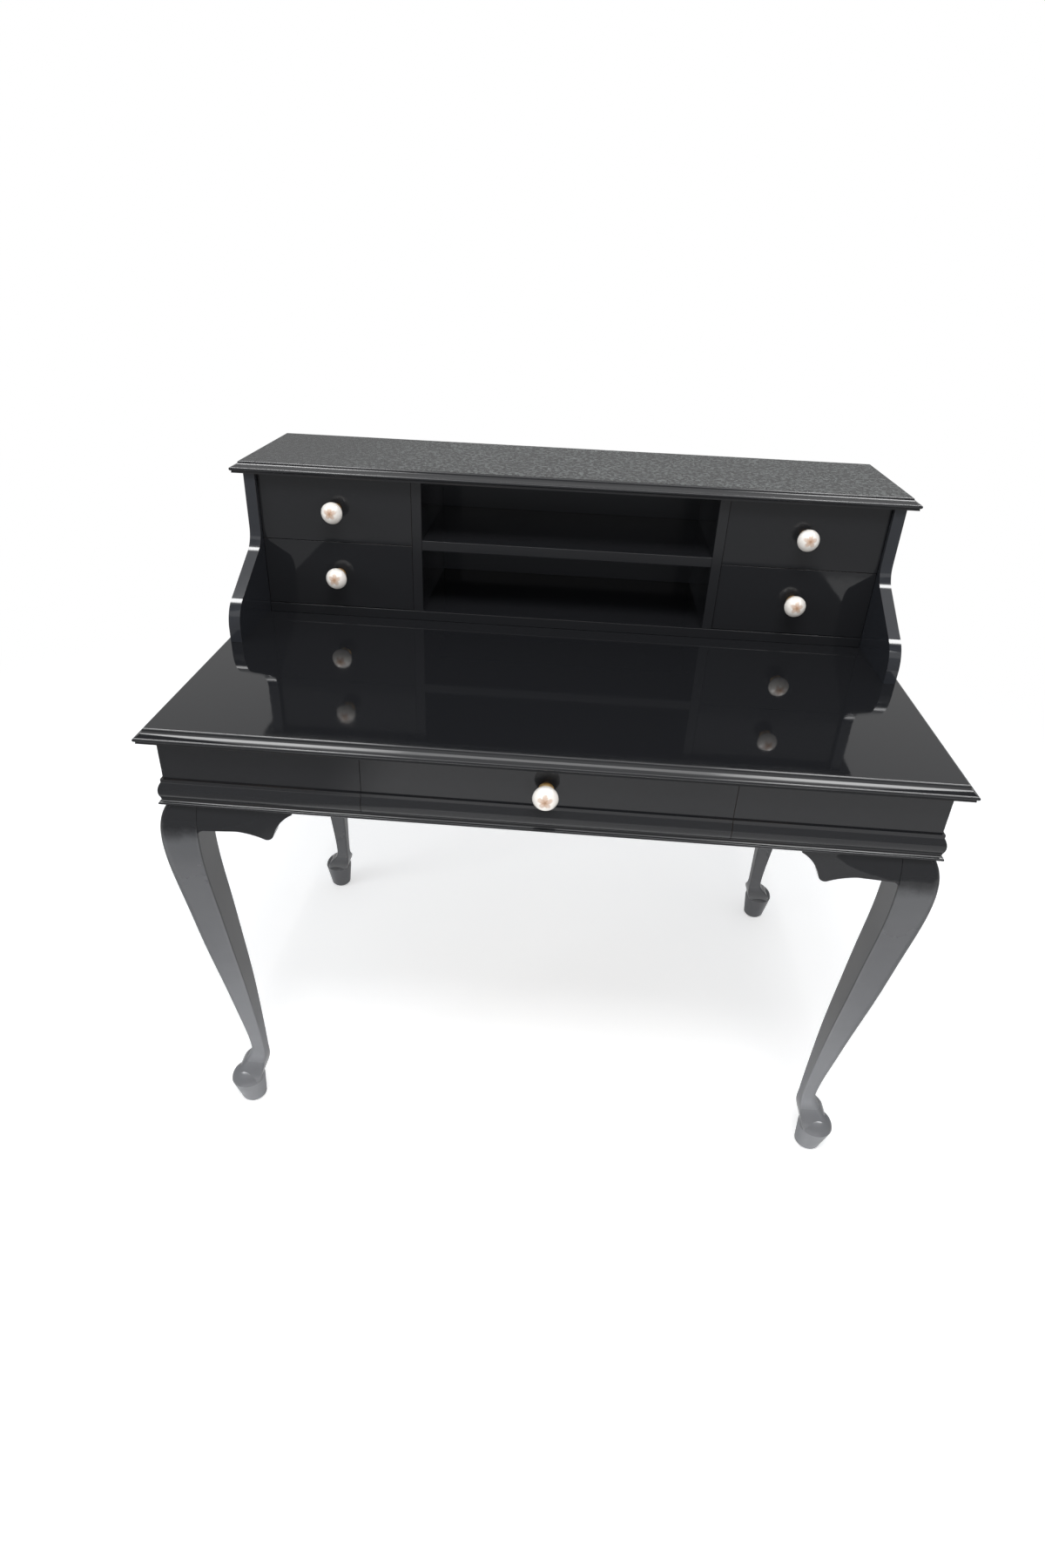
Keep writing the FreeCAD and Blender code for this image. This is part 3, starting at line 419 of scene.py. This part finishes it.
lining_coat = lacquer_coat("lining_lacquer", lining_gloss, lining_painted_grey)
lining_depth = lining_coat.finish.along("Y", lining_coat.place)
# painted light: the lining's colour goes from the desk's black at the front to a painted grey toward the back
lining_painted_light = lining_depth.between(painted_light_from, painted_light_full)
lining_coat.colour = lining_coat.finish.blend(lining_painted_light, lacquer_black, lining_coat.colour)
dress(["centre_shelf", "divider_left", "divider_right"], sprayed(lining_coat))
ease(["centre_shelf", "divider_left", "divider_right"], arris)
ease(["gallery_base"], base_arris)


# The gallery's cap: a moulded board whose upper face is covered with fine grey flecks that stand a little
# proud. The flecks lie thinner toward its left end.

cap_gloss = 0.14
cap_relief = 0.5
nearly_level = 0.985
quite_level = 0.999
upper_dull = 0.03
upper_ripple = 0.25
fleck_grey = (0.150, 0.160, 0.157, 1.0)
fleck_share = 0.9
fleck_size = 0.0072
fleck_proud = 2.0
fleck_dull = 0.35
fleck_clouding = 0.8
thin_cover = 0.35
cap_left = -0.56
cover_full = -0.15

cap_coat = lacquer_coat("cap_lacquer", cap_gloss)
cap_finish = cap_coat.finish
cap_up = cap_finish.along("Z", cap_finish.node("TexCoord", output="Normal"))
cap_upper = cap_up.between(nearly_level, quite_level)
cap_x = cap_finish.along("X", cap_coat.place)
fleck_noise = cap_finish.node("TexNoise", sockets={"Vector": cap_coat.place, "Scale": 1 / fleck_size,
                                                   "Detail": 2.5, "Roughness": 0.6, "Distortion": 0.4})
fleck_cloud = cap_finish.node("TexNoise", sockets={"Vector": cap_coat.place, "Scale": 16.0, "Detail": 3.0})
fleck_thinning = thin_cover + cap_x.between(cap_left, cover_full) * (1 - thin_cover)
fleck_cover = fleck_thinning * (1 - fleck_clouding / 2 + fleck_cloud * fleck_clouding)
flecks = fleck_noise.between(0.47, 0.58) * fleck_cover * cap_upper
cap_coat.colour = cap_finish.blend(flecks * fleck_share, cap_coat.colour, fleck_grey)
cap_coat.roughness = cap_coat.roughness + cap_upper * upper_dull + flecks * fleck_dull
cap_coat.height = cap_coat.height * cap_upper * upper_ripple + flecks * fleck_proud
dress(["gallery_cap"], sprayed(cap_coat, cap_relief))


# The legs: polished like the desk, under a pale grey that is partly a film of dust and polish haze and partly
# a painted sheen of the bright floor. It starts below the knee and thickens down to the foot, with less of it
# on the foot's dome and painted shade where it thins on the side that faces the kneehole. The back legs get
# less, as painted shade.

leg_gloss = 0.09
leg_aside = 0.5
# dust and painted sheen: the legs' pale grey
dust_and_sheen_grey = (0.240, 0.245, 0.258, 1.0)
haze_dull = 0.45
dust_and_sheen_clouding = 0.24
dust_and_sheen_start = 0.630
dust_and_sheen_step = 0.030
dust_and_sheen_waver = 0.03
knee_dust_and_sheen = 0.36
inside_low = 0.08
inside_high = 0.34
inside_painted_shade = 0.95
inside_dull = 0.20
dome_rim = 0.052
rim_soft = 0.002
dome_crown = 0.080
crown_soft = 0.02
dome_less_grey = 0.35
dome_polish = 0.35
back_leg_shaded_share = 0.42


def leg_lacquer(name, share):
    """Lacquer under dust and a painted sheen. The share is how much of that grey this leg gets."""
    coat = lacquer_coat(name, leg_gloss)
    finish = coat.finish
    level = finish.along("Z", coat.place)
    aside = finish.along("X", coat.place)
    rightward = finish.along("X", finish.node("TexCoord", output="Normal"))
    inward = (rightward * aside * (-1 / leg_aside)).between(0.50, 0.95)
    smear = finish.node("TexNoise", sockets={"Vector": coat.place, "Scale": 24.0, "Detail": 5.0,
                                             "Roughness": 0.65})
    wavering = level + (smear - 0.5) * dust_and_sheen_waver
    # dust and painted sheen: the grey starts below the knee and grows down to the foot
    below_knee = 1 - wavering.between(dust_and_sheen_start - dust_and_sheen_step, dust_and_sheen_start)
    thicker = knee_dust_and_sheen + (1 - level.between(0.0, dust_and_sheen_start)) * (1 - knee_dust_and_sheen)
    above_rim = level.between(dome_rim - rim_soft, dome_rim + rim_soft)
    on_dome = above_rim - level.between(dome_crown, dome_crown + crown_soft)
    # painted shade: the grey thins on the faces toward the kneehole
    inside_shading = 1 - inward * level.between(inside_low, inside_high) * inside_painted_shade
    clouded = 1 - dust_and_sheen_clouding / 2 + smear * dust_and_sheen_clouding
    dust_and_sheen = below_knee * thicker * inside_shading * (1 - on_dome * dome_less_grey) * clouded * share
    coat.colour = finish.blend(dust_and_sheen.clamped(), coat.colour, dust_and_sheen_grey)
    coat.roughness = coat.roughness + dust_and_sheen * (haze_dull - on_dome * dome_polish) + inward * inside_dull
    return sprayed(coat)


dress(["leg_front_left", "leg_front_right"], leg_lacquer("front_leg_lacquer", 1.0))
# painted shade: the back legs, under the desk, get less of the grey
dress(["leg_back_left", "leg_back_right"], leg_lacquer("back_leg_lacquer", back_leg_shaded_share))


# The small drawers' fronts: single boards in the desk's lacquer, fixed to the ends of their boxes. Their
# arrises are only just broken, so that the gap lines round them stay thin.

front_arris = 0.0004

ease(["upper_left_front", "upper_right_front", "lower_left_front", "lower_right_front"], front_arris)


# The drawer boxes, and the runners, cleats and dust boards round them: pale unfinished poplar, planed and
# glued. The grain is drawn from front to back.

poplar_dark = (0.56, 0.41, 0.26, 1.0)
poplar_light = (0.68, 0.54, 0.37, 1.0)
poplar_fibre = (0.38, 0.26, 0.15, 1.0)
fibre_share = 0.35
poplar_rough = 0.55
fibre_rough = 0.2
along_grain = (26.0, 1.6, 26.0)

poplar, poplar_finish, poplar_shader = finish_for("board_poplar")
poplar_place = poplar_finish.node("TexCoord", output="Object")
poplar_grain = poplar_finish.node("VectorMath", {"operation": "MULTIPLY"}, {0: poplar_place, 1: along_grain})
poplar_bands = poplar_finish.node("TexNoise", sockets={"Vector": poplar_grain, "Scale": 1.0, "Detail": 6.0,
                                                       "Roughness": 0.62, "Distortion": 0.5})
poplar_lines = poplar_finish.node("TexNoise", sockets={"Vector": poplar_grain, "Scale": 9.0, "Detail": 3.0,
                                                       "Roughness": 0.7})
poplar_colour = poplar_finish.blend(poplar_bands.between(0.3, 0.7), poplar_dark, poplar_light)
poplar_fibres = poplar_lines.between(0.5, 0.8) * fibre_share
poplar_colour = poplar_finish.blend(poplar_fibres, poplar_colour, poplar_fibre)
poplar_bump = poplar_finish.node("Bump", sockets={"Strength": 0.3, "Distance": 0.0004,
                                                  "Height": poplar_lines})
poplar_finish.feed(poplar_shader["Base Color"], poplar_colour)
poplar_finish.feed(poplar_shader["Roughness"], poplar_rough + poplar_lines * fibre_rough)
poplar_finish.feed(poplar_shader["Normal"], poplar_bump)
dress(made_of("drawer_wood"), poplar)


# The screws: zinc-plated steel. Six hold the top from below through the cleats, and four come up through the
# top into the gallery's base.

zinc_dark = (0.42, 0.43, 0.45, 1.0)
zinc_light = (0.62, 0.63, 0.64, 1.0)
zinc_gloss = 0.28
zinc_dull = 0.2

zinc, zinc_finish, zinc_shader = finish_for("zinc_steel")
zinc_place = zinc_finish.node("TexCoord", output="Object")
zinc_cloud = zinc_finish.node("TexNoise", sockets={"Vector": zinc_place, "Scale": 300.0, "Detail": 3.0})
zinc_finish.feed(zinc_shader["Base Color"], zinc_finish.blend(zinc_cloud, zinc_dark, zinc_light))
zinc_finish.feed(zinc_shader["Roughness"], zinc_gloss + zinc_cloud * zinc_dull)
zinc_shader["Metallic"].default_value = 1.0
dress(["top_screws", "gallery_screws"], zinc)


# The collars: turned brass with a waisted neck, one behind each knob, held by a screw through the drawer
# front. They have been left to darken in patches.

brass_yellow = (0.78, 0.56, 0.27, 1.0)
brass_dark = (0.34, 0.21, 0.09, 1.0)
brass_gloss = 0.36
tarnish_share = 0.6
tarnish_dull = 0.2

brass, brass_finish, brass_shader = finish_for("turned_brass")
brass_place = brass_finish.node("TexCoord", output="Object")
brass_cloud = brass_finish.node("TexNoise", sockets={"Vector": brass_place, "Scale": 120.0, "Detail": 5.0,
                                                     "Roughness": 0.65})
brass_lines = brass_finish.node("TexWave", {"wave_type": "BANDS", "bands_direction": "Y"},
                                {"Vector": brass_place, "Scale": 900.0, "Distortion": 1.5, "Detail": 2.0})
brass_tarnish = brass_cloud.between(0.35, 0.7)
brass_bump = brass_finish.node("Bump", sockets={"Strength": 0.15, "Distance": 0.0002, "Height": brass_lines})
brass_finish.feed(brass_shader["Base Color"],
                  brass_finish.blend(brass_tarnish * tarnish_share, brass_yellow, brass_dark))
brass_finish.feed(brass_shader["Roughness"], brass_gloss + brass_tarnish * tarnish_dull)
brass_finish.feed(brass_shader["Normal"], brass_bump)
brass_shader["Metallic"].default_value = 1.0


# The knobs: cream-white glazed china, each with a small five-petalled flower painted in soft tan on its face,
# and each on its brass collar.

china_white = (0.93, 0.885, 0.83, 1.0)
flower_tan = (0.56, 0.37, 0.26, 1.0)
flower_brown = (0.34, 0.19, 0.11, 1.0)
flower_rise = 0.0020
flower_radius = 0.009
petal_count = 5
petal_turn = 0.8
petal_root = 0.0056
petal_reach = 0.0052
petal_waver = 0.0050
heart_solid = 0.0010
heart_radius = 0.0030
vein_share = 0.4
heart_share = 0.6
glaze_gloss = 0.10
glaze_dull = 0.08


def painted_china(name, centre):
    """Glazed china with the flower just above the given centre, on a face that looks along -Y."""
    material, finish, shader = finish_for(name)
    place = finish.node("TexCoord", output="Object")
    heart_place = (centre[0], centre[1], centre[2] + flower_rise)
    local = finish.node("VectorMath", {"operation": "SUBTRACT"}, {0: place, 1: heart_place})
    x = finish.along("X", local)
    z = finish.along("Z", local)
    radius = (x * x + z * z) ** 0.5
    angle = finish.node("Math", {"operation": "ARCTAN2"}, {0: z, 1: x})
    half_waves = angle * (petal_count / 2) + petal_turn
    lobes = abs(finish.node("Math", {"operation": "SINE"}, {0: half_waves}))
    brush = finish.node("TexNoise", sockets={"Vector": place, "Scale": 420.0, "Detail": 3.0})
    petal_edge = petal_root + lobes * petal_reach + (brush - 0.5) * petal_waver
    petals = 1 - (radius - petal_edge).between(-0.0020, 0.0016)
    veins = (1 - lobes) ** 3.0
    heart = 1 - radius.between(heart_solid, heart_radius)
    inside = 1 - (radius / flower_radius).between(0.1, 1.0)
    wash = petals * (0.62 + inside * 0.45) * (0.65 + brush * 0.6)
    face = finish.along("Y", finish.node("TexCoord", output="Normal"))
    painted = 1 - face.between(-0.45, -0.15)
    colour = finish.blend((wash * painted).clamped(), china_white, flower_tan)
    dark_lines = (petals * veins * vein_share + heart * heart_share) * painted
    colour = finish.blend(dark_lines.clamped(), colour, flower_brown)
    glaze = finish.node("TexNoise", sockets={"Vector": place, "Scale": 90.0, "Detail": 2.0})
    bump = finish.node("Bump", sockets={"Strength": 0.12, "Distance": 0.0005, "Height": glaze})
    finish.feed(shader["Base Color"], colour)
    finish.feed(shader["Roughness"], glaze_gloss + glaze * glaze_dull)
    finish.feed(shader["Normal"], bump)
    shader["Coat Roughness"].default_value = 0.05
    shader["Coat Weight"].default_value = 0.4
    return material


for drawer in ("centre", "upper_left", "upper_right", "lower_left", "lower_right"):
    low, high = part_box(drawer + "_knob")
    middle = (low + high) / 2
    dress([drawer + "_knob"], painted_china(drawer + "_china", tuple(middle)))
    dress([drawer + "_collar"], brass)
